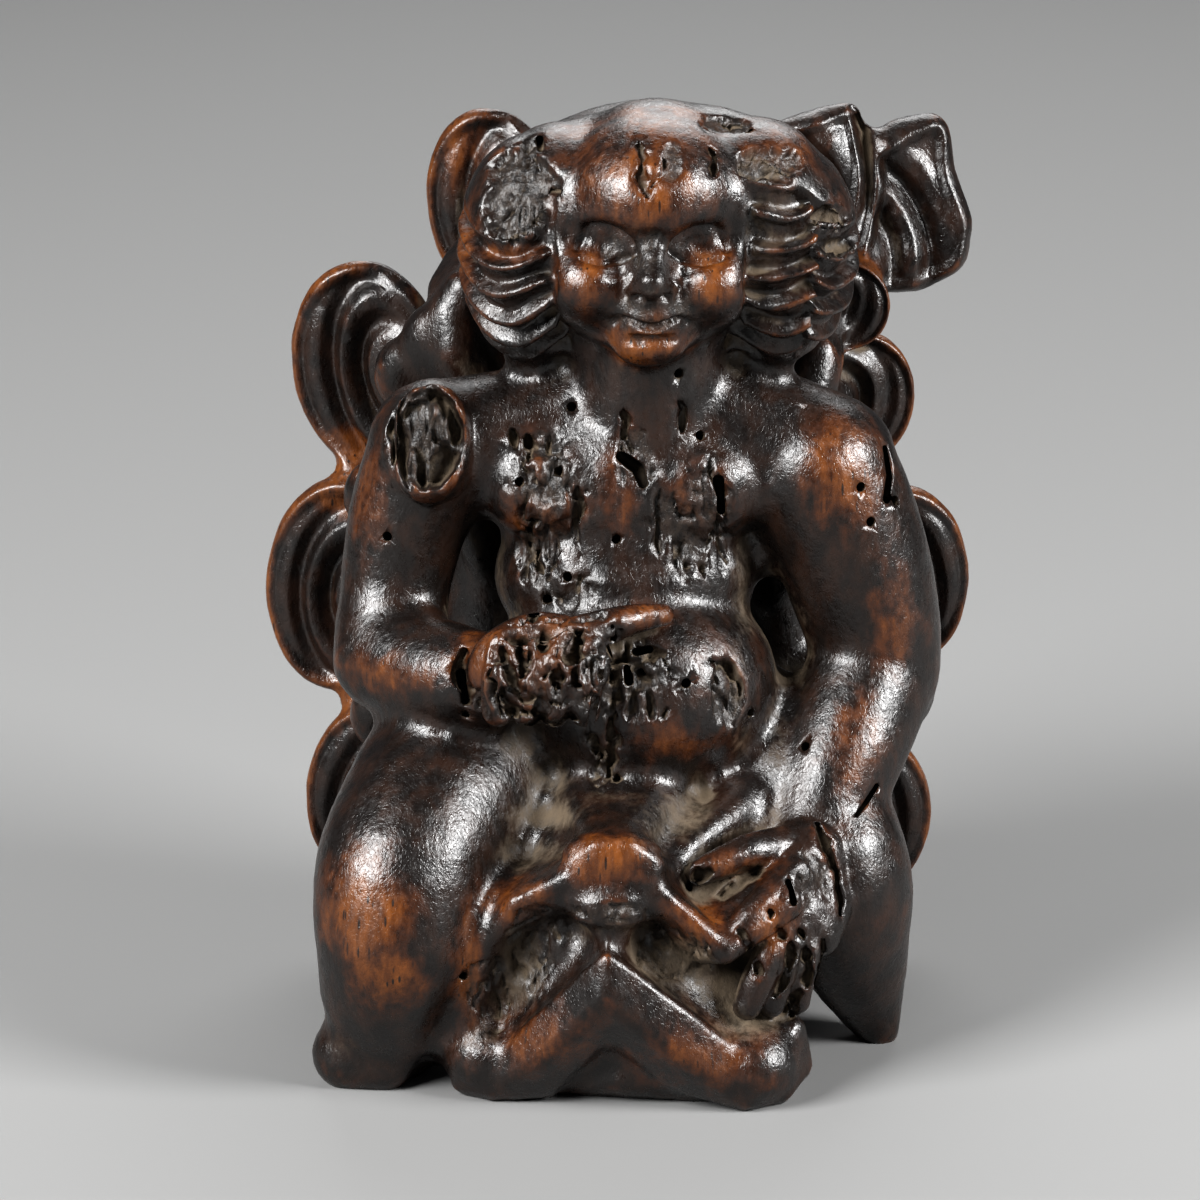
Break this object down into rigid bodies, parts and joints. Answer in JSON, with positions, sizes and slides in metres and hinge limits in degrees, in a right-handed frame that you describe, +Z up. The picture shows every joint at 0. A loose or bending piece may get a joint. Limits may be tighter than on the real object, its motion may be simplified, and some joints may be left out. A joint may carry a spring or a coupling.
{
  "type": "carved wooden putto",
  "caption": "Small carved wooden putto seated before scrolled leaves, one hand on the belly and one on the knee, draped cloth between the legs, worn and worm-eaten, on a flat underside.",
  "frame": {"origin": "on the standing surface, below the middle of the carving's width and depth", "axes": "+Z up, -Y the way the figure faces, +X towards the figure's own left hand"},
  "size_m": [0.088, 0.0742, 0.11],
  "materials": {
    "walnut": "dark waxed patina, worn to orange brown on the high places, grey dust in the hollows"
  },
  "bodies": {
    "root": {"putto": "walnut"}
  },
  "joints": []
}
